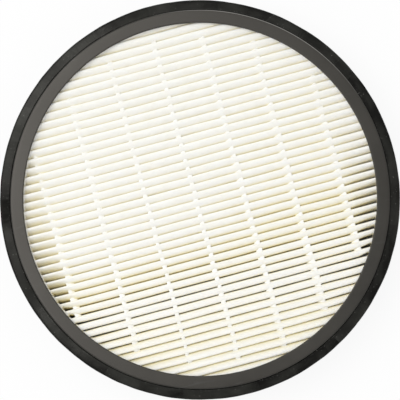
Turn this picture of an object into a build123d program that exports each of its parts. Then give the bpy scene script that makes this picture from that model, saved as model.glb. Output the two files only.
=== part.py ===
"""Round drop-in filter of an air purifier: a pleated paper pack in a moulded ring with a soft seal.

The filter lies on the rear rim of its frame, with the front opening up. Millimetres, +Z up.
X runs along the pleats and Y across them. The origin is the middle of the rear rim.
"""

import math
import os

from build123d import *

# Frame
opening_radius = 91.0
lip_width = 6.7
lip_thickness = 2.0
wall = 2.2
top_edge_chamfer = 0.6

# Seal strip round the frame
seal_thickness = 5.75
seal_height = 10.0
seal_drop = 2.5
seal_groove = 0.9
seal_edge_chamfer = 1.3

# Pleated paper
paper_thickness = 0.7
front_gap = 1.0
rear_gap = 1.83
pleat_depth = 28.0
pack_shift = 0.4
pack_edge_margin = 1.0
trim_cut_count = 72
rear_recess = 2.0

# Glue strings across the folds
bead_width = 2.2
bead_cover = 0.35
bead_depth = 8.0
bead_count = 7
bead_side_margin = 16.0
bead_shift = -2.1
bead_end_clearance = 0.7

# Potting glue round the pack
sealant_width = 1.0
sealant_height = 8.0

# Sizes that follow from those above
frame_radius = opening_radius + lip_width
bore_radius = frame_radius - wall
pack_radius = bore_radius - sealant_width
pack_bottom = rear_recess
pack_top = pack_bottom + pleat_depth
height = pack_top + lip_thickness

seal_radius = frame_radius + seal_thickness
seal_top = height - seal_drop
seal_bottom = seal_top - seal_height

pitch = front_gap + rear_gap + 2 * paper_thickness
front_half_crest = (pitch - front_gap) / 2
rear_half_crest = (pitch - rear_gap) / 2

# The crests fill the round pack from side to side, and the pack sits a little off the middle
pack_half_room = pack_radius - abs(pack_shift) - pack_edge_margin
crest_count = 2 * int((pack_half_room + front_gap / 2) / pitch)
crests = [pack_shift + (i - (crest_count - 1) / 2) * pitch for i in range(crest_count)]
front_gaps = [crest + pitch / 2 for crest in crests[:-1]]
pack_low = crests[0] - front_half_crest
pack_high = crests[-1] + front_half_crest

# Glue strings stand evenly across the opening, and stop inside it, so that they clear the lip
bead_spacing = 2 * (opening_radius - bead_side_margin) / (bead_count - 1)
bead_lines = [bead_shift + (k - (bead_count - 1) / 2) * bead_spacing for k in range(bead_count)]
bead_reach = opening_radius - bead_end_clearance

os.makedirs("parts", exist_ok=True)


def fold_points(middle, half_width, level, outward):
    """One side of a fold, from left to right: half an octagon that reaches the height level."""
    flat = half_width * math.tan(math.pi / 8)
    shoulder = level - outward * (half_width - flat)
    return [
        (middle - half_width, shoulder),
        (middle - flat, level),
        (middle + flat, level),
        (middle + half_width, shoulder),
    ]


def sheet_points():
    """Outline of the folded sheet: its front face from left to right, then its rear face back."""
    front_face = [(pack_low, pack_bottom)]
    rear_face = [(pack_low + paper_thickness, pack_bottom)]
    for crest in crests:
        front_face += fold_points(crest, front_half_crest, pack_top, 1)
        rear_face += fold_points(crest, rear_gap / 2, pack_top - paper_thickness, 1)
        if crest != crests[-1]:
            gap = crest + pitch / 2
            front_face += fold_points(gap, front_gap / 2, pack_bottom + paper_thickness, -1)
            rear_face += fold_points(gap, rear_half_crest, pack_bottom, -1)
    front_face.append((pack_high, pack_bottom))
    rear_face.append((pack_high - paper_thickness, pack_bottom))
    return front_face + rear_face[::-1]


def half_chord(x):
    """Half the length of a glue string whose middle line is at x."""
    outer_edge = abs(x) + bead_width / 2
    return math.sqrt(max(bead_reach**2 - outer_edge**2, 0))


def gaps_in_reach(gaps, x):
    """The gaps that a glue string at x bridges, each with half a pitch of crest on both sides."""
    reach = half_chord(x) - pitch / 2
    return [gap for gap in gaps if abs(gap) <= reach]


def comb_points(gaps, gap_width, seat, outward):
    """Outline of a glue string: a flat bar on the crests at height seat, with a tooth in each gap."""
    tooth_end = seat - outward * bead_depth
    points = [(gaps[0] - pitch / 2, seat)]
    for gap in gaps:
        points.append((gap - gap_width / 2, seat))
        points.append((gap - gap_width / 2, tooth_end))
        points.append((gap + gap_width / 2, tooth_end))
        points.append((gap + gap_width / 2, seat))
    points.append((gaps[-1] + pitch / 2, seat))
    points.append((gaps[-1] + pitch / 2, seat + outward * bead_cover))
    points.append((gaps[0] - pitch / 2, seat + outward * bead_cover))
    return points


# Frame: the moulded section turned round the middle line
with BuildPart() as frame:
    with BuildSketch(Plane.XZ):
        with BuildLine():
            Polyline(
                (bore_radius, 0),
                (frame_radius, 0),
                (frame_radius, height - top_edge_chamfer),
                (frame_radius - top_edge_chamfer, height),
                (opening_radius, height),
                (opening_radius, height - lip_thickness),
                (bore_radius, height - lip_thickness),
                close=True,
            )
        make_face()
    revolve(axis=Axis.Z)
frame.part.label = "frame"
export_step(frame.part, "parts/frame.step")

# Seal strip: it is stuck on the wall, and its sloped inner corner leaves a groove beside the frame
with BuildPart() as seal_strip:
    with BuildSketch(Plane.XZ):
        with BuildLine():
            Polyline(
                (frame_radius, seal_bottom),
                (seal_radius, seal_bottom),
                (seal_radius, seal_top - seal_edge_chamfer),
                (seal_radius - seal_edge_chamfer, seal_top),
                (frame_radius + seal_groove, seal_top),
                (frame_radius, seal_top - seal_groove),
                close=True,
            )
        make_face()
    revolve(axis=Axis.Z)
seal_strip.part.label = "seal_strip"
export_step(seal_strip.part, "parts/seal_strip.step")

# Pleat pack: one folded sheet, seen from its end, run along X and trimmed round by short straight cuts
with BuildPart() as pleat_pack:
    with BuildSketch(Plane.YZ):
        with BuildLine():
            Polyline(*sheet_points(), close=True)
        make_face()
    extrude(amount=pack_radius, both=True)
    with BuildSketch(Plane.XY.offset(pack_bottom)):
        RegularPolygon(pack_radius, trim_cut_count)
    extrude(amount=pleat_depth, mode=Mode.INTERSECT)
pleat_pack.part.label = "pleat_pack"
export_step(pleat_pack.part, "parts/pleat_pack.step")

# Glue strings: combs whose teeth fill the gaps, seven over the front folds and seven under the rear ones
for number, x in enumerate(bead_lines, start=1):
    with BuildPart() as front_bead:
        with BuildSketch(Plane.YZ.offset(x)):
            with BuildLine():
                gaps = gaps_in_reach(front_gaps, x)
                Polyline(*comb_points(gaps, front_gap, pack_top, 1), close=True)
            make_face()
        extrude(amount=bead_width / 2, both=True)
    front_bead.part.label = f"front_glue_bead_{number}"
    export_step(front_bead.part, f"parts/front_glue_bead_{number}.step")

for number, x in enumerate(bead_lines, start=1):
    with BuildPart() as rear_bead:
        with BuildSketch(Plane.YZ.offset(x)):
            with BuildLine():
                gaps = gaps_in_reach(crests, x)
                Polyline(*comb_points(gaps, rear_gap, pack_bottom, -1), close=True)
            make_face()
        extrude(amount=bead_width / 2, both=True)
    rear_bead.part.label = f"rear_glue_bead_{number}"
    export_step(rear_bead.part, f"parts/rear_glue_bead_{number}.step")

# Potting glue: it fills the room between the trimmed pack and the wall, at the rear
with BuildPart() as edge_sealant:
    with BuildSketch(Plane.XY.offset(pack_bottom)):
        Circle(bore_radius)
        with BuildSketch(mode=Mode.PRIVATE) as pack_footprint:
            RegularPolygon(pack_radius, trim_cut_count)
            with Locations((0, (pack_low + pack_high) / 2)):
                Rectangle(2 * pack_radius, pack_high - pack_low, mode=Mode.INTERSECT)
        add(pack_footprint.sketch, mode=Mode.SUBTRACT)
    extrude(amount=sealant_height)
edge_sealant.part.label = "edge_sealant"
export_step(edge_sealant.part, "parts/edge_sealant.step")
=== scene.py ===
# %% [markdown]
# # A round pleated air filter
# The object is a drop-in filter: white paper folded into pleats, held apart by strings of glue, in a
# black plastic ring with a soft black seal round it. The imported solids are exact, but their folds are
# half octagons and their edges are sharp. This lesson models the same pieces again with round folds,
# uneven glue and soft rubber, gives each one a finish, and then lights and frames them as the
# photograph does.

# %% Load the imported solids
import math
import random

import bmesh
import bpy
import numpy as np
from mathutils import Matrix, Vector, noise


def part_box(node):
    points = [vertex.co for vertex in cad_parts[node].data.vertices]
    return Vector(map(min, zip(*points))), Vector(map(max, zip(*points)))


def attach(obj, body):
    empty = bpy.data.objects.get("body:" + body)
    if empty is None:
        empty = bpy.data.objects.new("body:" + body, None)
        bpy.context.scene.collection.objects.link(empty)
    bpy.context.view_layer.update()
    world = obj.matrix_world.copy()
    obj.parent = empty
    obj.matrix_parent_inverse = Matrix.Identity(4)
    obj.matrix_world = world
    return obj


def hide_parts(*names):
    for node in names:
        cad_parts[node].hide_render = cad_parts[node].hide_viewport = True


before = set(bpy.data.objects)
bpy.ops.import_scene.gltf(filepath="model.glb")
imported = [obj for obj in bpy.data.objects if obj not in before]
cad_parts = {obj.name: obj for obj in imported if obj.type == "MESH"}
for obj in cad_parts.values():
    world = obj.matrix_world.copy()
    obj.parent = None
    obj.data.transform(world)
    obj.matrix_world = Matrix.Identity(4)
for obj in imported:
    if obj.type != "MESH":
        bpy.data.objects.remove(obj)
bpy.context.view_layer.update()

# %% [markdown]
# ## Tools for modelling by hand
# Every piece below starts as a primitive, is shaped in edit mode and is finished with modifiers or by
# moving its vertices. A few helpers keep those steps short: they name a new primitive, select by place
# in edit mode, add a modifier and apply it, read and move vertices, and close a mesh with its faces
# outwards.

# %% Helpers for pieces
MM = 0.001
SAME = 0.01 * MM


def begin(name, scale=(1, 1, 1)):
    """Name the primitive that was just added, and apply its size, turn and place to its mesh."""
    piece = bpy.context.active_object
    piece.name = name
    piece.data.name = name
    piece.scale = scale
    bpy.ops.object.transform_apply(location=True, rotation=True, scale=True)
    return piece


def edit():
    """Go to edit mode with nothing selected."""
    bpy.ops.object.mode_set(mode="EDIT")
    bpy.ops.mesh.select_all(action="DESELECT")


def leave():
    """Go back to object mode."""
    bpy.ops.object.mode_set(mode="OBJECT")


def pick(piece, kind, test):
    """In edit mode, select only the VERT, EDGE or FACE parts whose corners all pass the test."""
    bpy.ops.mesh.select_mode(type=kind)
    bpy.ops.mesh.select_all(action="DESELECT")
    work = bmesh.from_edit_mesh(piece.data)
    parts = {"VERT": work.verts, "EDGE": work.edges, "FACE": work.faces}[kind]
    for part in parts:
        corners = [part] if kind == "VERT" else part.verts
        if all(test(corner.co) for corner in corners):
            part.select_set(True)
    work.select_flush_mode()
    bmesh.update_edit_mesh(piece.data)


def pull(x=0.0, y=0.0, z=0.0):
    """Extrude what is selected by that much."""
    bpy.ops.mesh.extrude_region_move(TRANSFORM_OT_translate={"value": (x, y, z)})


def finish_with(piece, kind, **settings):
    """Add a modifier with these settings and apply it."""
    modifier = piece.modifiers.new(kind.lower(), kind)
    for setting, value in settings.items():
        setattr(modifier, setting, value)
    bpy.ops.object.modifier_apply(modifier=modifier.name)


def read_points(piece):
    """The piece's vertices as an array, one row each."""
    points = np.zeros(3 * len(piece.data.vertices))
    piece.data.vertices.foreach_get("co", points)
    return points.reshape(-1, 3)


def write_points(piece, points):
    """Move the piece's vertices to these rows."""
    piece.data.vertices.foreach_set("co", points.ravel())
    piece.data.update()


def close_up(piece, merge=0.002 * MM):
    """Merge the doubles of a turned or copied mesh and make its faces agree."""
    edit()
    bpy.ops.mesh.select_all(action="SELECT")
    bpy.ops.mesh.remove_doubles(threshold=merge)
    bpy.ops.mesh.normals_make_consistent(inside=False)
    leave()


def turn_out(piece):
    """Flip the faces of a closed mesh that came out pointing inwards, which its signed volume tells."""
    edit()
    bpy.ops.mesh.select_all(action="SELECT")
    if bmesh.from_edit_mesh(piece.data).calc_volume(signed=True) < 0:
        bpy.ops.mesh.flip_normals()
    leave()


def stand_for(piece, node, smooth=40.0):
    """Shade the piece, hide that CAD node, and let the piece stand for it under the root."""
    bpy.ops.object.shade_smooth_by_angle(angle=math.radians(smooth))
    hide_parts(node)
    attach(piece, "root")
    piece.data.calc_loop_triangles()
    print(piece.name, len(piece.data.loop_triangles), "triangles, stands for", node)


# %% [markdown]
# ## The plastic ring
# The frame is one moulding: a wall with a lip that turns in over the pleats. A lathe makes it best, so
# its section is drawn once, as a plane whose edges are extruded into an L, the corners are rounded as
# in a mould, and the outline is spun round the middle.

# %% Frame ring
bpy.ops.object.select_all(action="DESELECT")
_, frame_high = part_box("frame")
WALL = 2.2 * MM
LIP_WIDTH = 6.7 * MM
LIP_THICKNESS = 2.0 * MM
RING_STEPS = 256
FRONT_EDGE = 0.7 * MM
OPENING_EDGE = 0.45 * MM
LIP_EDGE = 0.25 * MM
REAR_EDGE = 0.4 * MM
ring_radius = frame_high.x
lip_under = frame_high.z - LIP_THICKNESS
opening_radius = ring_radius - LIP_WIDTH


def near(a, b, reach=SAME):
    """Whether two places are the same, to a hundredth of a millimetre."""
    return abs(a - b) < reach


def round_corner(piece, x, z, radius, segments):
    """Round the corner of a section that lies at that radius and height."""
    pick(piece, "VERT", lambda p: near(p.x, x) and near(p.z, z))
    bpy.ops.mesh.bevel(affect="VERTICES", offset=radius, segments=segments)


def spin_outline(piece, steps, turn=2 * math.pi):
    """Spin the outline of a flat section about the vertical middle line."""
    bpy.ops.mesh.select_mode(type="FACE")
    bpy.ops.mesh.select_all(action="SELECT")
    bpy.ops.mesh.delete(type="ONLY_FACE")
    bpy.ops.mesh.select_mode(type="EDGE")
    bpy.ops.mesh.select_all(action="SELECT")
    bpy.ops.mesh.spin(steps=steps, angle=turn, center=(0, 0, 0), axis=(0, 0, 1))


bpy.ops.mesh.primitive_plane_add(
    size=1,
    location=(ring_radius - WALL / 2, 0, lip_under / 2),
    rotation=(math.pi / 2, 0, 0),
)
ring = begin("frame_ring", scale=(WALL, lip_under, 1))
edit()
pick(ring, "EDGE", lambda p: near(p.z, lip_under))
pull(z=LIP_THICKNESS)
pick(ring, "EDGE", lambda p: near(p.x, ring_radius - WALL) and p.z > lip_under - SAME)
pull(x=WALL - LIP_WIDTH)
bpy.ops.mesh.select_all(action="SELECT")
bpy.ops.mesh.dissolve_faces()
round_corner(ring, ring_radius, frame_high.z, FRONT_EDGE, 4)
round_corner(ring, opening_radius, frame_high.z, OPENING_EDGE, 3)
round_corner(ring, opening_radius, lip_under, LIP_EDGE, 2)
round_corner(ring, ring_radius, 0.0, REAR_EDGE, 2)
round_corner(ring, ring_radius - WALL, 0.0, REAR_EDGE, 2)
spin_outline(ring, RING_STEPS)
leave()
close_up(ring)
stand_for(ring, "frame")
finish_with(ring, "WEIGHTED_NORMAL", weight=100, keep_sharp=True)

# %% [markdown]
# ## The soft seal
# The seal is a strip of soft black foam, cut from a reel and stuck round the wall, so its two ends meet
# in a butt joint and its surface is a little uneven. It is spun as the ring was, but not quite all the
# way round, and the two open ends are closed. Its long sides are cut finer first, so that they can
# bend.

# %% Seal strip
bpy.ops.object.select_all(action="DESELECT")
seal_low, seal_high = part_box("seal_strip")
seal_radius = seal_high.x
seal_thickness = seal_radius - ring_radius
seal_height = seal_high.z - seal_low.z
JOINT_ANGLE = math.radians(-61.0)
JOINT_GAP = math.radians(0.22)
SEAL_STEPS = 420
LONG_SIDE = 2.0 * MM
SEAL_TOP_EDGE = 1.0 * MM
SEAL_GROOVE = 0.9 * MM
SEAL_REAR_EDGE = 0.7 * MM

bpy.ops.mesh.primitive_plane_add(
    size=1,
    location=(ring_radius + seal_thickness / 2, 0, seal_low.z + seal_height / 2),
    rotation=(math.pi / 2, 0, 0),
)
seal = begin("soft_seal", scale=(seal_thickness, seal_height, 1))
edit()
round_corner(seal, seal_radius, seal_high.z, SEAL_TOP_EDGE, 5)
round_corner(seal, ring_radius, seal_high.z, SEAL_GROOVE, 4)
round_corner(seal, seal_radius, seal_low.z, SEAL_REAR_EDGE, 3)
pick(seal, "EDGE", lambda p: True)
section = bmesh.from_edit_mesh(seal.data)
for run in section.edges:
    run.select_set(run.calc_length() > LONG_SIDE)
bmesh.update_edit_mesh(seal.data)
bpy.ops.mesh.subdivide(number_cuts=4)
spin_outline(seal, SEAL_STEPS, 2 * math.pi - JOINT_GAP)
bpy.ops.mesh.select_all(action="DESELECT")
bpy.ops.mesh.select_non_manifold()
bpy.ops.mesh.fill()
leave()
close_up(seal)
print("seal in mm", np.round(1000 * np.ptp(read_points(seal), axis=0), 2))

# %% [markdown]
# Foam takes dents and sinks a little towards its outer edge, where the bay of the purifier presses it.
# Noise presses the skin in, never out, so that the strip stays as large as the solid. The side that is
# stuck to the wall doesn't move. The strip is also turned, so that its joint lies at the lower right.

# %% Dents and slope of the seal
SEAL_DENT = 0.16 * MM
FINE_DENT = 0.4
DENT_SIZE = 9 * MM
FINE_SIZE = 2.5 * MM
SEAL_SLOPE = 0.50 * MM
STUCK_WIDTH = 1.5 * MM
DENT_GAIN = 1.6


def press_in(points, amount, size, seed):
    """Noise from 0 to amount at each point, with lumps of that size."""
    offset = Vector((seed, 2.3 * seed, 3.7 * seed))
    lumps = [noise.noise(Vector(p) / size + offset) for p in points]
    return amount * (0.5 + 0.5 * np.clip(np.array(lumps) * DENT_GAIN, -1, 1))


points = read_points(seal)
turn = Matrix.Rotation(JOINT_ANGLE + JOINT_GAP / 2, 3, "Z")
points = points @ np.array(turn).T
spread = np.hypot(points[:, 0], points[:, 1])
dents = press_in(points, SEAL_DENT, DENT_SIZE, seed=1.0)
dents += press_in(points, FINE_DENT * SEAL_DENT, FINE_SIZE, seed=2.0)
free = np.clip((spread - ring_radius) / STUCK_WIDTH, 0, 1)
on_top = points[:, 2] > seal_low.z + seal_height / 2
outward = np.clip((spread - ring_radius) / seal_thickness, 0, 1)
points[:, 2] -= (dents * free + SEAL_SLOPE * outward**1.5) * on_top
shrink = 1 - dents * free / spread
points[:, 0] *= shrink
points[:, 1] *= shrink
write_points(seal, points)
stand_for(seal, "seal_strip")

# %% [markdown]
# ## The pleated paper
# The paper is one sheet that goes up a flank, over a crest, down and round a valley, and so on across
# the pack. One pleat is traced as a hand would fold it: a strip for the flank is extruded up, spun over
# the crest, extruded down and spun round the valley. An array repeats it.

# %% One pleat, repeated
bpy.ops.object.select_all(action="DESELECT")
pack_low, pack_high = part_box("pleat_pack")
PAPER = 0.7 * MM
PITCH = 4.23 * MM
FRONT_GAP = 1.0 * MM
EDGE_ROOM = 0.2 * MM
CREST_STEPS = 12
VALLEY_STEPS = 4
RUN_CUTS = 35
FLANK_SHARES = (0.45, 0.33, 0.22)
pack_radius = pack_high.x - EDGE_ROOM
pleat_count = round((pack_high.y - pack_low.y + FRONT_GAP) / PITCH)
crest_bend = (PITCH - FRONT_GAP - PAPER) / 2
valley_bend = PITCH / 2 - crest_bend
first_crest = pack_low.y + (PITCH - FRONT_GAP) / 2
crest_spring = pack_high.z - PAPER / 2 - crest_bend
valley_spring = pack_low.z + PAPER / 2 + valley_bend
flank = crest_spring - valley_spring
first_run = FLANK_SHARES[0] * flank


def repeat(piece, count):
    """Array a piece across the pack, one pitch apart, and merge where the copies meet."""
    finish_with(
        piece,
        "ARRAY",
        count=count,
        use_relative_offset=False,
        use_constant_offset=True,
        constant_offset_displace=(0, PITCH, 0),
        use_merge_vertices=True,
        merge_threshold=SAME,
    )


bpy.ops.mesh.primitive_plane_add(
    size=1,
    location=(0, first_crest - crest_bend, valley_spring + first_run / 2),
    rotation=(math.pi / 2, 0, 0),
)
paper = begin("pleated_paper", scale=(2 * pack_radius, first_run, 1))
edit()
for level in (valley_spring, valley_spring + first_run):
    pick(paper, "EDGE", lambda p: near(p.z, level))
    bpy.ops.mesh.subdivide(number_cuts=RUN_CUTS)
pick(paper, "EDGE", lambda p: near(p.z, valley_spring + first_run))
for share in FLANK_SHARES[1:]:
    pull(z=share * flank)
bpy.ops.mesh.spin(
    steps=CREST_STEPS, angle=math.pi, center=(0, first_crest, crest_spring), axis=(1, 0, 0)
)
for share in FLANK_SHARES[::-1]:
    pull(z=-share * flank)
bpy.ops.mesh.spin(
    steps=VALLEY_STEPS,
    angle=-math.pi,
    center=(0, first_crest + PITCH / 2, valley_spring),
    axis=(1, 0, 0),
)
leave()
repeat(paper, pleat_count)
print("pleats", pleat_count, "box mm", np.round(1000 * np.ptp(read_points(paper), axis=0), 2))

# %% [markdown]
# The array leaves one valley too many at the far end. It is deleted, and both end flanks are drawn down
# to the rear face, where the potting glue holds them. Then a solidify modifier gives the sheet its
# thickness.

# %% Ends and thickness of the sheet
first_flank = first_crest - crest_bend
last_flank = first_crest + (pleat_count - 1) * PITCH + crest_bend
edit()
pick(paper, "FACE", lambda p: p.y > last_flank - SAME and p.z < valley_spring + SAME)
bpy.ops.mesh.delete(type="FACE")
for end in (first_flank, last_flank):
    pick(paper, "EDGE", lambda p: near(p.y, end) and near(p.z, valley_spring))
    pull(z=pack_low.z - valley_spring)
leave()
close_up(paper)
finish_with(paper, "SOLIDIFY", thickness=PAPER, offset=0.0, use_even_offset=True, use_rim=True)
sheet = 1000 * read_points(paper)
print("sheet in mm", np.round(sheet.min(axis=0), 2), np.round(sheet.max(axis=0), 2))

# %% [markdown]
# The pack is trimmed round, so each pleat is as long as its chord of the circle. Cutting it would leave
# ragged faces, so each row of vertices is drawn in to its chord instead. The outermost column ends near
# the wall. The next one lies where the ends of the folds are held together: beside the lip on the left,
# and under it on the right.

# %% Trim the pack round
COLUMNS = (RUN_CUTS + 1) // 2
HELD_LEFT = opening_radius - 0.06 * MM
HELD_RIGHT = opening_radius + 0.8 * MM
HELD_FADE = 0.45 * MM
HELD_LEAST = 0.6
FREE_LEAST = 0.55
SHORTEST = 5 * MM


def half_length(points):
    """Half the length of the fold at each place."""
    return np.sqrt(np.maximum(pack_radius**2 - points[:, 1] ** 2, SHORTEST**2))


def held_radius(points):
    """The radius from which the ends of the folds are held together."""
    return np.where(points[:, 0] > 0, HELD_RIGHT, HELD_LEFT)


def height_share(points):
    """From 0 on the rear face of the pack to 1 on its front face."""
    return np.clip((points[:, 2] - pack_low.z) / (pack_high.z - pack_low.z), 0, 1)


points = read_points(paper)
chord = half_length(points)
column = np.rint(np.abs(points[:, 0]) / pack_radius * COLUMNS)
held_at = np.sqrt(np.maximum(held_radius(points) ** 2 - points[:, 1] ** 2, (HELD_LEAST * chord) ** 2))
free_radius = held_radius(points) - HELD_FADE
free_at = np.sqrt(np.maximum(free_radius**2 - points[:, 1] ** 2, (FREE_LEAST * chord) ** 2))
reach = np.where(column == COLUMNS - 1, held_at, free_at * column / (COLUMNS - 2))
points[:, 0] = np.sign(points[:, 0]) * np.where(column == COLUMNS, chord, reach)
pleat = np.clip(np.round((points[:, 1] - first_crest) / PITCH), 0, pleat_count - 1)
middle = first_crest + pleat * PITCH
upper = height_share(points)
print("folds in mm", round(2000 * chord.min(), 1), "to", round(2000 * chord.max(), 1))

# %% [markdown]
# Folded paper is never quite even. In a band across the lower part of the pack the folds stand
# straight and their gaps are open. Above and below it they lean, so that the gaps close. Past the
# last glue string nothing holds the folds, and their ends come loose. These functions say where a
# place lies in that pattern, for the paper and the glue.

# %% Where the folds are open, and where they are loose
OPEN_AT = -45 * MM
OPEN_REACH = 24 * MM
SKEW_MIDDLE = -15 * MM
RIGHT_SKEW = -0.08
LEFT_SKEW = 0.03
WIDER_FROM = -10 * MM
WIDER_OVER = 50 * MM
WIDER_SHARE = 0.5
BELOW_SHARE = 1.9
LOOSE_LENGTH = 26 * MM
HOLD_FADE = 5 * MM
HELD_SHARE = 0.2
glue_lines = []
for number in range(1, 8):
    low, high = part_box(f"front_glue_bead_{number}")
    glue_lines.append((low.x + high.x) / 2)


def from_open(points):
    """How far a place lies above the middle of the open band, in units of the band's reach."""
    beside = points[:, 0] - SKEW_MIDDLE
    beyond = points[:, 1] - OPEN_AT - np.where(beside > 0, RIGHT_SKEW, LEFT_SKEW) * beside
    reach = OPEN_REACH * (1 + WIDER_SHARE * np.clip((points[:, 0] - WIDER_FROM) / WIDER_OVER, 0, 1))
    return beyond / np.where(beyond < 0, BELOW_SHARE * OPEN_REACH, reach)


def near_end(points):
    """From 0 to 1, how near a place is to the end of its fold."""
    return np.clip(1 - (half_length(points) - np.abs(points[:, 0])) / LOOSE_LENGTH, 0, 1)


def loose_ends(points):
    """The same, but only a small share of it inside the last glue string, which holds the folds."""
    past = np.maximum(glue_lines[0] - points[:, 0], points[:, 0] - glue_lines[-1])
    return near_end(points) * np.clip(HELD_SHARE + past / HOLD_FADE, HELD_SHARE, 1)


def freedom(points):
    """From 0 where the ends of the folds are held together, to 1 inwards of that."""
    spread = np.hypot(points[:, 0], points[:, 1])
    return np.clip((held_radius(points) - spread) / HELD_FADE, 0, 1)


openness = np.exp(-(from_open(points) ** 2))
print("glue strings at mm", np.round(1000 * np.array(glue_lines), 1))

# %% [markdown]
# Pressed paper folds into a fuller curve than half a circle, so the crests are squared up a little.
# Then each crest is widened or narrowed about its middle until the gap beside it has the width that its
# place calls for: tight where the folds lean, open in the band, wide at the loose ends, and nearly shut
# where the ends are held.

# %% Fuller crests and uneven gaps
SQUARENESS = 2.15
OPEN_SQUARENESS = 2.6
OPEN_GAP = 0.48 * MM
TIGHT_GAP = 0.12 * MM
HELD_GAP = 0.05 * MM
END_GAP = 2.1 * MM
END_AT = 14 * MM
RIGHT_AT = 8 * MM
END_REACH = 38 * MM
END_LAST = -86 * MM
END_FADE = 16 * MM
RIGHT_END = 0.9
END_SHIFT = 0.4


def square_up(points, middle, openness):
    """Turn the round crests into fuller ones with a flatter top, most of all in the open band."""
    power = SQUARENESS + (OPEN_SQUARENESS - SQUARENESS) * openness
    side = points[:, 1] - middle
    rise = points[:, 2] - crest_spring
    reach = np.hypot(side, rise) + 1e-9
    bulge = (np.abs(side / reach) ** power + np.abs(rise / reach) ** power) ** (-1 / power)
    on_crest = rise > 0
    points[:, 1] = np.where(on_crest, middle + side * bulge, points[:, 1])
    points[:, 2] = np.where(on_crest, crest_spring + rise * bulge, points[:, 2])


def end_gaps(points, across):
    """How much wider the gaps get towards the loose ends, given the places across the pack."""
    right = points[:, 0] > 0
    share = np.clip((END_AT + RIGHT_AT * right - across) / END_REACH, 0, 1)
    share = share * np.clip((across - END_LAST) / END_FADE, 0, 1)
    return END_GAP * loose_ends(points) * share * np.where(right, RIGHT_END, 1.0)


square_up(points, middle, openness)
loose = loose_ends(points)
end_gap = end_gaps(points, middle)
gap = TIGHT_GAP + (OPEN_GAP - TIGHT_GAP) * openness + end_gap
gap = HELD_GAP + (gap - HELD_GAP) * freedom(points)
widen = (PITCH - gap) / (PITCH - FRONT_GAP)
side = points[:, 1] - middle
points[:, 1] += (side * (widen - 1) + END_SHIFT * end_gap) * upper**2
print("gaps in mm", round(1000 * gap.min(), 2), "to", round(1000 * gap.max(), 2))

# %% [markdown]
# A fold that leans shows one side of its crest, and that side catches less light. So one edge of each
# crest is lowered, much more at the loose ends on the left and a little more at those on the right.
# In the middle of the open band the crests stay level.

# %% Tilted crests
TILT = 0.33
TOP_TILT = 1.3
TOP_FROM = 10 * MM
TOP_OVER = 55 * MM
END_TILT = 2.8
LEFT_TILT = 1.9
RIGHT_TILT = 0.3
FAR_TILT = 1.8
TILT_DEPTH = 8 * MM


def toward_top(points):
    """From 0 in the middle of the pack to 1 near the top of the picture."""
    return np.clip((points[:, 1] - TOP_FROM) / TOP_OVER, 0, 1)


def tilt_drop(points, side):
    """How far a crest sinks at a place beside its middle, so that one of its edges stands lower."""
    lean = np.tanh(from_open(points))
    beside = np.clip(PITCH / 2 - np.sign(lean) * side, 0, PITCH)
    end_tilt = END_TILT * np.where(points[:, 0] < 0, LEFT_TILT, RIGHT_TILT)
    steep = TILT * (1 + end_tilt * loose_ends(points)) * np.where(lean < 0, FAR_TILT, 1.0)
    steep = steep * (1 + (TOP_TILT - 1) * toward_top(points)) * freedom(points)
    return steep * np.abs(lean) * beside**2 / PITCH


crest_part = np.clip((points[:, 2] - crest_spring + TILT_DEPTH) / TILT_DEPTH, 0, 1)
drop = tilt_drop(points, side) * crest_part
points[:, 2] -= drop
print("crest edges lowered by up to mm", round(1000 * drop.max(), 2))

# %% [markdown]
# The crests also wander from side to side and sag a little, which smooth noise gives them. Between
# crest and valley the flanks bow, so that no one sees through a gap to the rear. The bow is less at the
# loose ends, where the sheet is straighter and the gaps look deep.

# %% Wander, sag and bow
WANDER = 0.12 * MM
WANDER_LENGTH = 22 * MM
WANDER_FOLDS = 1.3
SAG = 0.15 * MM
SAG_LENGTH = 45 * MM
SAG_FOLDS = 0.9
BOW = 3.0 * MM
BOW_FADE = 12 * MM
STRAIGHT_LEFT = 0.5
STRAIGHT_RIGHT = 0.7
EDGE_FADE = 3 * MM
WAVER_GAIN = 1.7


def waver(points, pleat, along, across, seed):
    """Smooth noise from -1 to 1 that changes slowly along the folds and from fold to fold."""
    places = np.column_stack((points[:, 0] / along, pleat / across, np.full(len(points), seed)))
    return np.clip(WAVER_GAIN * np.array([noise.noise(Vector(p)) for p in places]), -1, 1)


def bow(points):
    """How far the flanks bend between crest and valley."""
    height = height_share(points)
    straight = loose_ends(points) * np.where(points[:, 0] > 0, STRAIGHT_RIGHT, STRAIGHT_LEFT)
    amount = BOW * np.tanh(from_open(points)) * (1 - straight)
    fade = np.clip((pack_high.y - np.abs(points[:, 1])) / BOW_FADE, 0, 1)
    return -amount * 4 * height * (1 - height) * fade


from_edge = np.minimum(points[:, 1] - pack_low.y, pack_high.y - points[:, 1])
inner = np.clip(from_edge / EDGE_FADE, 0, 1)
points[:, 1] += WANDER * waver(points, pleat, WANDER_LENGTH, WANDER_FOLDS, seed=5.5) * upper * inner
points[:, 2] -= SAG * (0.5 + 0.5 * waver(points, pleat, SAG_LENGTH, SAG_FOLDS, seed=8.5)) * upper**3
points[:, 1] += bow(points)
points[:, 1] = np.clip(points[:, 1], pack_low.y, pack_high.y)
write_points(paper, points)
print("paper in mm", np.round(1000 * points.min(axis=0), 2), np.round(1000 * points.max(axis=0), 2))

# %% [markdown]
# Light that goes into a gap bounces from paper to paper and turns warmer each time. A plain white
# finish shows too little of that, so each vertex gets a share of warmth that grows with its depth below
# the crests. The finish reads it later. It fades at the loose ends, which look grey, and low down, so
# that the rear face stays white.

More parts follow.
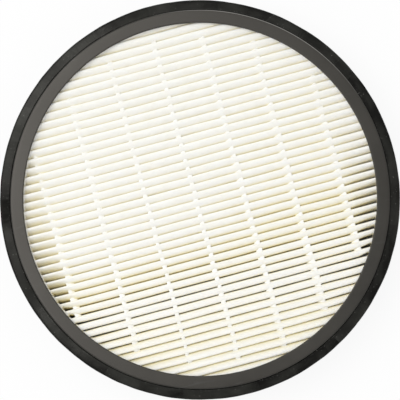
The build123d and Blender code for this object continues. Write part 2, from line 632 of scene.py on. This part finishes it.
# %% Warm shade in the gaps
WARM_BELOW = 28.95 * MM
WARM_RISE = 1.3 * MM
WARM_RIGHT = 0.3 * MM
WARM_OVER = 50 * MM
WARM_LIMIT = 29.85 * MM
WARM_TOP = 0.4 * MM
WARM_DEPTH = 2.0 * MM
WARM_LEAN = 0.8
WARM_UNDER = 0.62
WARM_END = 9 * MM
WARM_FADE = 9 * MM
GREY_LEFT = 0.55
GREY_RIGHT = 0.8

warm_from = WARM_BELOW + WARM_RISE * openness
warm_from += WARM_RIGHT * np.clip(points[:, 0] / WARM_OVER, 0, 1)
warm_from = np.minimum(warm_from, WARM_LIMIT) - WARM_TOP * toward_top(points)
deep = np.clip((warm_from - points[:, 2]) / WARM_DEPTH, 0, 1)
deep *= 1 - np.where(points[:, 0] > 0, GREY_RIGHT, GREY_LEFT) * loose
deep *= WARM_LEAN + (1 - WARM_LEAN) * openness
deep *= np.where(from_open(points) < 0, WARM_UNDER, 1.0)
deep *= np.clip((points[:, 2] - WARM_END) / WARM_FADE, 0, 1)
warmth = paper.data.attributes.new("warmth", "FLOAT", "POINT")
warmth.data.foreach_set("value", deep)
print("warm vertices", int((deep > 0).sum()), "of", len(deep))
stand_for(paper, "pleat_pack", smooth=50.0)

# %% [markdown]
# ## The glue strings
# Seven strings of hot glue run across the front folds and seven across the rear ones. Each was laid as
# a round bead over the open folds, so it bridges the crests as a thin film and fills each gap with a
# web that spreads up the two flanks. One pitch of it is modelled from a cube: cut by bisects, its gap
# part extruded down as a tooth. Then the film is waisted over the crests, and one edge of the web is
# drawn out along the gap, as the glue ran there.

# %% One pitch of glue
GLUE_WIDTH = 2.2 * MM
REAR_GAP = PITCH - FRONT_GAP - 2 * PAPER
FILM_BELOW = 0.45 * MM
WEB_DEPTH = 7.6 * MM
WEB_BITE = 0.18 * MM
WEB_TAPER = (0.55, 0.8, 1.0)
SHOULDER = 0.35 * MM
WIDTHS = (0.75, 1.05, 0.95, 0.5)
DIPS = (0.70 * MM, 0.62 * MM, 0.62 * MM, 0.66 * MM)
EDGE_DIP = 0.2 * MM
OUTER = 0.9
LEAN_MIDDLE = -20 * MM
LEAN_OVER = 60 * MM
DRAWN_OUT = 1.5 * MM
DRAWN_DOWN = 1.15 * MM


def bisect_at(place, normal):
    """Cut all faces of the mesh along a plane."""
    bpy.ops.mesh.select_all(action="SELECT")
    bpy.ops.mesh.bisect(plane_co=place, plane_no=normal, use_fill=False)


def glue_block(name, x, start, top, film, half, outward):
    """One pitch of plain glue from crest to crest: a flat film with a tapered tooth, open at both ends."""
    mid = start + PITCH / 2
    under = top - outward * film
    bpy.ops.object.select_all(action="DESELECT")
    bpy.ops.mesh.primitive_cube_add(size=1, location=(x, mid, top - outward * film / 2))
    piece = begin(name, scale=(GLUE_WIDTH, PITCH, film))
    edit()
    for across in (-0.5, 0.5):
        bisect_at((x + across * GLUE_WIDTH / 2, 0, 0), (1, 0, 0))
    for along in (-half - SHOULDER, -half, 0.0, half, half + SHOULDER):
        bisect_at((0, mid + along, 0), (0, 1, 0))
    pick(piece, "FACE", lambda p: near(p.z, under) and abs(p.y - mid) < half + SAME)
    pull(z=-outward * (WEB_DEPTH - film))
    bpy.ops.transform.resize(value=WEB_TAPER)
    for end in (start, start + PITCH):
        pick(piece, "FACE", lambda p: near(p.y, end))
        bpy.ops.mesh.delete(type="FACE")
    leave()
    return piece


def glue_pitch(name, x, start, seat, outward, cover, gap):
    """One pitch of a glue string. Outward is 1 on the front folds and -1 on the rear ones."""
    film = cover + FILM_BELOW
    top = seat + outward * cover
    half = gap / 2 + WEB_BITE
    piece = glue_block(name, x, start, top, film, half, outward)
    points = read_points(piece)
    across = (points[:, 0] - x) / (GLUE_WIDTH / 2)
    along = np.abs(points[:, 1] - start - PITCH / 2)
    film_part = np.abs(points[:, 2] - top) < film + SAME
    skin = np.abs(points[:, 2] - top) < SAME
    stations = (0, half, half + SHOULDER, PITCH / 2)
    wide = np.interp(along, stations, WIDTHS)
    points[:, 0] = np.where(film_part, x + across * GLUE_WIDTH / 2 * wide, points[:, 0])
    dip = np.interp(along, stations, DIPS) + np.where(np.abs(across) > OUTER, EDGE_DIP, 0.0)
    points[:, 2] -= outward * dip * skin
    share = np.clip((LEAN_MIDDLE - x) / LEAN_OVER, -1, 1)
    drawn = film_part & (across * share > OUTER * abs(share)) & (along < half + SAME)
    points[:, 0] += share * DRAWN_OUT * drawn
    points[:, 2] -= outward * abs(share) * DRAWN_DOWN * drawn
    write_points(piece, points)
    return piece


# %% [markdown]
# The strings differ only in place and length. Each is arrayed from its own pitch and its two ends are
# filled. Seeded noise then moves and widens the web in each gap, so that no two are alike. The front
# strings follow the paper: they sink with the tilted crests, and a little more towards the ends of the
# folds. All strings bend with the flanks.

# %% Fourteen glue strings
SHIFT = 0.16 * MM
SWELL = (-0.16, 0.2)
DRIFT = 0.25 * MM
DRIFT_LENGTH = 14 * MM
LEAN = 0.03
TOP_SHARE = 0.36
END_SINK = 0.5 * MM


def vary(points, x, start, count, seed):
    """Move and widen the web in each gap of a string, by dice with that seed."""
    dice = random.Random(seed)
    part = np.clip(((points[:, 1] - start) / PITCH).astype(int), 0, count - 1)
    inside = np.sin(np.pi * np.clip((points[:, 1] - start) / PITCH - part, 0, 1)) ** 2
    shift = np.array([dice.gauss(0, SHIFT) for _ in range(count)])[part]
    swell = np.array([dice.uniform(*SWELL) for _ in range(count)])[part]
    drift = DRIFT * np.array([noise.noise(Vector((p[1] / DRIFT_LENGTH, seed, 0.5))) for p in points])
    points[:, 0] += (points[:, 0] - x) * swell * inside + shift * inside + drift


def follow_crests(points, start):
    """Sink the film of a front string with the tilted crests, and shift it with the widened gaps."""
    offset = (points[:, 1] - start) / PITCH
    beside = PITCH * (offset - np.round(offset))
    on_crest = np.clip((0.5 * PITCH - np.abs(beside)) / ((0.5 - TOP_SHARE) * PITCH), 0, 1)
    beside = np.clip(beside, -TOP_SHARE * PITCH, TOP_SHARE * PITCH) * on_crest
    points[:, 2] -= tilt_drop(points, beside) + END_SINK * near_end(points)
    points[:, 1] += END_SHIFT * end_gaps(points, points[:, 1])


def glue_string(node, outward, gap, seed):
    """A whole glue string in place of that CAD node."""
    low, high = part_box(node)
    x = (low.x + high.x) / 2
    seat = pack_high.z if outward > 0 else pack_low.z
    cover = high.z - seat if outward > 0 else seat - low.z
    count = round((high.y - low.y) / PITCH)
    piece = glue_pitch(node.replace("bead", "string"), x, low.y, seat, outward, cover, gap)
    repeat(piece, count)
    edit()
    bpy.ops.mesh.select_all(action="SELECT")
    bpy.ops.mesh.fill_holes(sides=0)
    leave()
    close_up(piece)
    turn_out(piece)
    points = read_points(piece)
    vary(points, x, low.y, count, seed)
    sunk = np.clip(outward * (seat - points[:, 2]) / WEB_DEPTH, 0, 1)
    points[:, 0] += LEAN * (LEAN_MIDDLE - x) * sunk
    if outward > 0:
        follow_crests(points, low.y)
    points[:, 1] += bow(points)
    write_points(piece, points)
    stand_for(piece, node, smooth=60.0)
    return piece


strings = []
for number in range(1, 8):
    strings.append(glue_string(f"front_glue_bead_{number}", 1, FRONT_GAP, 20 + number))
for number in range(1, 8):
    strings.append(glue_string(f"rear_glue_bead_{number}", -1, REAR_GAP, 40 + number))
print("glue strings", len(strings))

# %% [markdown]
# ## Finishes
# Each finish is made of noise on Object coordinates, which are metres here, so the size of a grain can
# be written as on the real thing. Helpers make the usual steps: a grain, a ramp of colours over it, a
# mix, and a bump.

# %% Helpers for finishes
def new_finish(name):
    """A node material, its tree, its shader and its object coordinates."""
    material = bpy.data.materials.new(name)
    material.use_nodes = True
    tree = material.node_tree
    shader = tree.nodes["Principled BSDF"]
    place = tree.nodes.new("ShaderNodeTexCoord").outputs["Object"]
    return material, tree, shader, place


def grain(tree, place, size, detail=3.0, stretch=(1, 1, 1)):
    """Noise whose lumps are about size metres across, squeezed by stretch."""
    mapping = tree.nodes.new("ShaderNodeMapping")
    mapping.inputs["Scale"].default_value = stretch
    node = tree.nodes.new("ShaderNodeTexNoise")
    node.inputs["Scale"].default_value = 1 / size
    node.inputs["Detail"].default_value = detail
    tree.links.new(place, mapping.inputs["Vector"])
    tree.links.new(mapping.outputs["Vector"], node.inputs["Vector"])
    return node.outputs["Fac"]


def ramp(tree, value, *stops):
    """A colour ramp over a value. Each stop is a place from 0 to 1 and a colour or a grey."""
    node = tree.nodes.new("ShaderNodeValToRGB")
    marks = node.color_ramp.elements
    for index, (place, colour) in enumerate(stops):
        mark = marks[index] if index < 2 else marks.new(place)
        mark.position = place
        mark.color = (*colour, 1) if hasattr(colour, "__len__") else (colour, colour, colour, 1)
    tree.links.new(value, node.inputs["Fac"])
    return node.outputs["Color"]


def blend(tree, share, first, second):
    """Mix two colours by a share from 0 to 1."""
    node = tree.nodes.new("ShaderNodeMix")
    node.data_type = "RGBA"
    tree.links.new(share, node.inputs["Factor"])
    for socket, colour in ((node.inputs[6], first), (node.inputs[7], second)):
        if hasattr(colour, "__len__"):
            socket.default_value = (*colour, 1)
        else:
            tree.links.new(colour, socket)
    return node.outputs[2]


def emboss(tree, shader, value, height, strength):
    """Bump the surface by a value."""
    bump = tree.nodes.new("ShaderNodeBump")
    bump.inputs["Distance"].default_value = height
    bump.inputs["Strength"].default_value = strength
    tree.links.new(value, bump.inputs["Height"])
    tree.links.new(bump.outputs["Normal"], shader.inputs["Normal"])


def coat(piece, material):
    """Give a piece one material."""
    piece.data.materials.clear()
    piece.data.materials.append(material)


# %% [markdown]
# Filter paper is a mat of fine glass and plastic fibres: dull, nearly white and a little warm, with a
# cloudy thickness. Light passes into it, so a share of subsurface scattering keeps its folds bright.
# The warmth of each vertex, set above, mixes in the painted warm shade of the gaps.

# %% Filter paper
GAP_SHADE_COLOUR = (0.86, 0.735, 0.32)
paper_finish, tree, shader, place = new_finish("pleat_paper")
cloud = grain(tree, place, 6 * MM, 4.0)
fibre = grain(tree, place, 0.35 * MM, 5.0, (0.35, 1, 1))
plain = ramp(tree, cloud, (0.3, (0.925, 0.90, 0.825)), (0.7, (0.95, 0.93, 0.868)))
depth = tree.nodes.new("ShaderNodeAttribute")
depth.attribute_name = "warmth"
# Painted shade: the warm gap colour, mixed in by the warmth of each vertex.
colour = blend(tree, depth.outputs["Fac"], plain, GAP_SHADE_COLOUR)
tree.links.new(colour, shader.inputs["Base Color"])
tree.links.new(ramp(tree, fibre, (0.2, 0.82), (0.8, 0.96)), shader.inputs["Roughness"])
shader.inputs["Specular IOR Level"].default_value = 0.2
shader.inputs["Subsurface Weight"].default_value = 0.5
shader.inputs["Subsurface Radius"].default_value = (1.0, 0.95, 0.85)
shader.inputs["Subsurface Scale"].default_value = 1.2 * MM
emboss(tree, shader, fibre, 0.05 * MM, 0.35)
coat(paper, paper_finish)
print("finish", paper_finish.name)

# %% [markdown]
# Hot-melt glue is milky and smoother than the paper, so it gets a soft shine and a slow waviness from
# its flow.

# %% Hot-melt glue
hot_glue, tree, shader, place = new_finish("hot_melt_glue")
flow = grain(tree, place, 1.8 * MM, 2.0)
milk = grain(tree, place, 5 * MM, 2.0)
colour = ramp(tree, milk, (0.3, (0.92, 0.905, 0.84)), (0.7, (0.95, 0.94, 0.885)))
tree.links.new(colour, shader.inputs["Base Color"])
tree.links.new(ramp(tree, flow, (0.3, 0.38), (0.7, 0.55)), shader.inputs["Roughness"])
shader.inputs["Specular IOR Level"].default_value = 0.4
emboss(tree, shader, flow, 0.12 * MM, 0.3)
for piece in strings:
    coat(piece, hot_glue)
print("finish", hot_glue.name, "on", len(strings), "strings")

# %% [markdown]
# The ring is moulded in black plastic with a fine spark texture, which makes it satin grey where light
# meets it. Handling leaves pale scuffs, thin and long, so a stretched noise lightens it in a few
# places. At the upper right the outer edge gets a painted highlight: a pale line whose place is taken
# from the distance from the middle and a direction.

# %% Satin plastic
# Where the painted highlight on the outer edge lies, and how wide it is.
HIGHLIGHT_ANGLE = math.radians(53.0)
HIGHLIGHT_WIDTH = 0.75 * MM


def share_of(tree, value, low, high):
    """Turn a value from low to high into a share from 0 to 1."""
    node = tree.nodes.new("ShaderNodeMapRange")
    node.inputs["From Min"].default_value = low
    node.inputs["From Max"].default_value = high
    tree.links.new(value, node.inputs["Value"])
    return node.outputs["Result"]


def calc(tree, operation, first, second):
    """Work out one value from two. The second may be a plain number."""
    node = tree.nodes.new("ShaderNodeMath")
    node.operation = operation
    tree.links.new(first, node.inputs[0])
    if isinstance(second, float):
        node.inputs[1].default_value = second
    else:
        tree.links.new(second, node.inputs[1])
    return node.outputs[0]


def from_middle(tree, place):
    """How far a place lies from the vertical middle line, in metres."""
    flat = tree.nodes.new("ShaderNodeVectorMath")
    flat.operation = "MULTIPLY"
    flat.inputs[1].default_value = (1, 1, 0)
    length = tree.nodes.new("ShaderNodeVectorMath")
    length.operation = "LENGTH"
    tree.links.new(place, flat.inputs[0])
    tree.links.new(flat.outputs["Vector"], length.inputs[0])
    return length.outputs["Value"]


def painted_edge_highlight(tree, place):
    """A share from 0 to 1 for the painted highlight on the outer edge of the front face, at the upper
    right.
    """
    toward = tree.nodes.new("ShaderNodeVectorMath")
    toward.operation = "DOT_PRODUCT"
    toward.inputs[1].default_value = (math.cos(HIGHLIGHT_ANGLE), math.sin(HIGHLIGHT_ANGLE), 0)
    tree.links.new(place, toward.inputs[0])
    edge = share_of(tree, from_middle(tree, place), ring_radius - HIGHLIGHT_WIDTH, ring_radius)
    rim = ramp(tree, edge, (0.3, 0.0), (0.5, 1.0), (0.8, 0.2))
    stretch = share_of(tree, toward.outputs["Value"], 0.80 * ring_radius, 0.97 * ring_radius)
    return calc(tree, "MULTIPLY", rim, stretch)


satin_plastic, tree, shader, place = new_finish("satin_black_plastic")
spark = grain(tree, place, 0.28 * MM, 2.0)
patch = grain(tree, place, 18 * MM, 4.0)
scuff = grain(tree, place, 3 * MM, 6.0, (0.25, 1, 1))
plain = ramp(tree, patch, (0.3, (0.019, 0.0185, 0.016)), (0.7, (0.026, 0.025, 0.022)))
worn = ramp(tree, scuff, (0.62, 0.0), (0.78, 0.6))
scuffed = blend(tree, worn, plain, (0.05, 0.05, 0.05))
# Painted highlight: the outer edge at the upper right is painted pale grey.
highlight_share = painted_edge_highlight(tree, place)
tree.links.new(blend(tree, highlight_share, scuffed, (0.34, 0.33, 0.31)), shader.inputs["Base Color"])
tree.links.new(ramp(tree, patch, (0.25, 0.32), (0.75, 0.42)), shader.inputs["Roughness"])
shader.inputs["Specular IOR Level"].default_value = 0.44
shader.inputs["Specular Tint"].default_value = (1.0, 0.94, 0.86, 1)
emboss(tree, shader, spark, 0.03 * MM, 0.35)
coat(ring, satin_plastic)
print("finish", satin_plastic.name)

# %% [markdown]
# The seal is dull foam rubber with a skin of tiny cells. It came off a reel, so its broad patches and
# streaks follow the strip, and its coordinates are laid along the strip too. Pale dust is caught all
# over it, and lint collects in the groove beside the ring.

# %% Foam rubber
def along_strip(tree, place):
    """Coordinates along the strip, across it and up, in metres, with their seam at the butt joint."""
    spun = tree.nodes.new("ShaderNodeMapping")
    spun.inputs["Rotation"].default_value = (0, 0, math.pi - JOINT_ANGLE)
    apart = tree.nodes.new("ShaderNodeSeparateXYZ")
    together = tree.nodes.new("ShaderNodeCombineXYZ")
    tree.links.new(place, spun.inputs["Vector"])
    tree.links.new(spun.outputs["Vector"], apart.inputs[0])
    angle = calc(tree, "ARCTAN2", apart.outputs["Y"], apart.outputs["X"])
    tree.links.new(calc(tree, "MULTIPLY", angle, seal_radius), together.inputs["X"])
    tree.links.new(from_middle(tree, place), together.inputs["Y"])
    tree.links.new(apart.outputs["Z"], together.inputs["Z"])
    return together.outputs[0]


def patches(tree, place, size):
    """Shares from 0 to 0.4 that change abruptly from one stretch of the strip to the next."""
    flat = tree.nodes.new("ShaderNodeMapping")
    flat.inputs["Scale"].default_value = (1, 0.3, 0.3)
    cell = tree.nodes.new("ShaderNodeTexVoronoi")
    cell.inputs["Scale"].default_value = 1 / size
    tree.links.new(place, flat.inputs["Vector"])
    tree.links.new(flat.outputs["Vector"], cell.inputs["Vector"])
    apart = tree.nodes.new("ShaderNodeSeparateColor")
    tree.links.new(cell.outputs["Color"], apart.inputs[0])
    return ramp(tree, apart.outputs[0], (0.0, 0.0), (1.0, 0.4))


LINT_FROM = 98.7 * MM
LINT_TO = 99.7 * MM
foam_rubber, tree, shader, place = new_finish("foam_rubber")
strip = along_strip(tree, place)
stretches = patches(tree, strip, 17 * MM)
mottle = blend(tree, stretches, grain(tree, strip, 9 * MM, 5.0, (0.7, 1.6, 1)), (1, 1, 1))
pressed = grain(tree, strip, 26 * MM, 2.0, (1, 0.2, 1))
streaks = grain(tree, strip, 1.4 * MM, 3.0, (1, 0.15, 0.15))
cells = grain(tree, place, 0.5 * MM, 4.0)
dust = grain(tree, place, 0.9 * MM, 2.0)
plain = ramp(tree, mottle, (0.44, (0.0004, 0.0004, 0.0004)), (0.76, (0.020, 0.0205, 0.018)))
flecks = ramp(tree, dust, (0.70, 0.0), (0.78, 0.7))
lint = ramp(tree, grain(tree, place, 0.8 * MM, 2.0), (0.64, 0.0), (0.74, 0.6))
apart = tree.nodes.new("ShaderNodeSeparateXYZ")
tree.links.new(strip, apart.inputs[0])
flecks = blend(tree, share_of(tree, apart.outputs["Y"], LINT_TO, LINT_FROM), flecks, lint)
tree.links.new(blend(tree, flecks, plain, (0.14, 0.14, 0.13)), shader.inputs["Base Color"])
worn = blend(tree, ramp(tree, streaks, (0.35, 0.0), (0.65, 0.35)), pressed, mottle)
tree.links.new(ramp(tree, worn, (0.40, 0.26), (0.54, 0.46), (0.68, 0.72)), shader.inputs["Roughness"])
shader.inputs["Specular IOR Level"].default_value = 0.175
shader.inputs["Specular Tint"].default_value = (1.0, 0.98, 0.90, 1)
relief = blend(tree, ramp(tree, cells, (0.0, 0.0), (1.0, 0.45)), mottle, cells)
emboss(tree, shader, relief, 0.25 * MM, 0.5)
coat(seal, foam_rubber)
print("finish", foam_rubber.name)

# %% [markdown]
# The potting glue was poured between the pack and the wall and set where it ran: cream, smooth and
# slightly wavy. Its solid has the right shape, so it stays and only gets a finish.

# %% Potting glue
potting, tree, shader, place = new_finish("poured_glue")
pour = grain(tree, place, 9 * MM, 3.0)
skin = grain(tree, place, 1.5 * MM, 3.0)
colour = ramp(tree, pour, (0.3, (0.78, 0.74, 0.65)), (0.7, (0.85, 0.82, 0.75)))
tree.links.new(colour, shader.inputs["Base Color"])
tree.links.new(ramp(tree, skin, (0.3, 0.32), (0.7, 0.5)), shader.inputs["Roughness"])
emboss(tree, shader, skin, 0.2 * MM, 0.3)
coat(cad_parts["edge_sealant"], potting)
print("finish", potting.name)

# %% [markdown]
# ## Floor, camera and light
# The photograph shows the filter from above on plain white. The floor is a wide pale sheet. A matt
# sheet would turn grey in this light, so most of its colour is a glow that only the camera and mirrored
# or passing rays see. The rest is matt and keeps the soft shadow.

# %% Floor
SEEN_SHARE = 0.9
bpy.ops.object.select_all(action="DESELECT")
bpy.ops.mesh.primitive_plane_add(size=6.0, location=(0, 0, 0))
floor = begin("floor")
floor_paint, tree, matt, _ = new_finish("floor_paint")
matt.inputs["Base Color"].default_value = (0.9, 0.9, 0.9, 1)
matt.inputs["Roughness"].default_value = 0.9
glow = tree.nodes.new("ShaderNodeEmission")
glow.inputs["Strength"].default_value = 1.0
ray = tree.nodes.new("ShaderNodeLightPath")
mix = tree.nodes.new("ShaderNodeMixShader")
seen = calc(tree, "MAXIMUM", ray.outputs["Is Camera Ray"], ray.outputs["Is Glossy Ray"])
seen = calc(tree, "MAXIMUM", seen, ray.outputs["Is Transmission Ray"])
tree.links.new(calc(tree, "MULTIPLY", seen, SEEN_SHARE), mix.inputs[0])
tree.links.new(matt.outputs[0], mix.inputs[1])
tree.links.new(glow.outputs[0], mix.inputs[2])
tree.links.new(mix.outputs[0], tree.nodes["Material Output"].inputs["Surface"])
coat(floor, floor_paint)
print("floor", floor.name)

# %% [markdown]
# The camera looks down from almost straight above, a little from the lower left, and is turned so that
# the pleats climb to the right as in the photograph. Its lens is worked out from the distance and the
# radius that fills the picture.

# %% Camera
scene = bpy.context.scene
scene.view_settings.view_transform = "Standard"
TURN = math.radians(15.0)
CAMERA_AT = Vector((-20 * MM, -36 * MM, 880 * MM))
AIM = Vector((-0.33 * MM, -0.63 * MM, 29.5 * MM))
VIEW_RADIUS = 103.1 * MM
SENSOR = 36.0
picture_up = Vector((math.sin(TURN), math.cos(TURN), 0))
ahead = (AIM - CAMERA_AT).normalized()
right = ahead.cross(picture_up).normalized()
up = right.cross(ahead)
camera = bpy.data.objects.new("camera", bpy.data.cameras.new("camera"))
scene.collection.objects.link(camera)
turned = Matrix((right, up, -ahead)).transposed().to_4x4()
camera.matrix_world = Matrix.Translation(CAMERA_AT) @ turned
camera.data.sensor_width = SENSOR
camera.data.lens = SENSOR / 2 * (AIM - CAMERA_AT).length / VIEW_RADIUS
scene.camera = camera
print("lens", round(camera.data.lens, 2))

# %% [markdown]
# The light is soft, as in a studio: an even white sky, and one wide lamp above the upper left, which
# shades the lower side of each fold.

# %% Light
SKY = 0.61
LAMP_AT = Vector((-0.40, 0.27, 1.15))
LAMP_SIZE = 0.82
LAMP_POWER = 9.05
world = bpy.data.worlds.new("world")
world.use_nodes = True
world.node_tree.nodes["Background"].inputs["Color"].default_value = (1, 1, 1, 1)
world.node_tree.nodes["Background"].inputs["Strength"].default_value = SKY
scene.world = world
lamp_data = bpy.data.lights.new("window", "AREA")
lamp_data.shape = "SQUARE"
lamp_data.size = LAMP_SIZE
lamp_data.energy = LAMP_POWER
lamp = bpy.data.objects.new("window", lamp_data)
scene.collection.objects.link(lamp)
lamp.location = LAMP_AT
lamp.rotation_euler = (AIM - LAMP_AT).to_track_quat("-Z", "Y").to_euler()
print("sky", SKY, "lamp", LAMP_POWER)
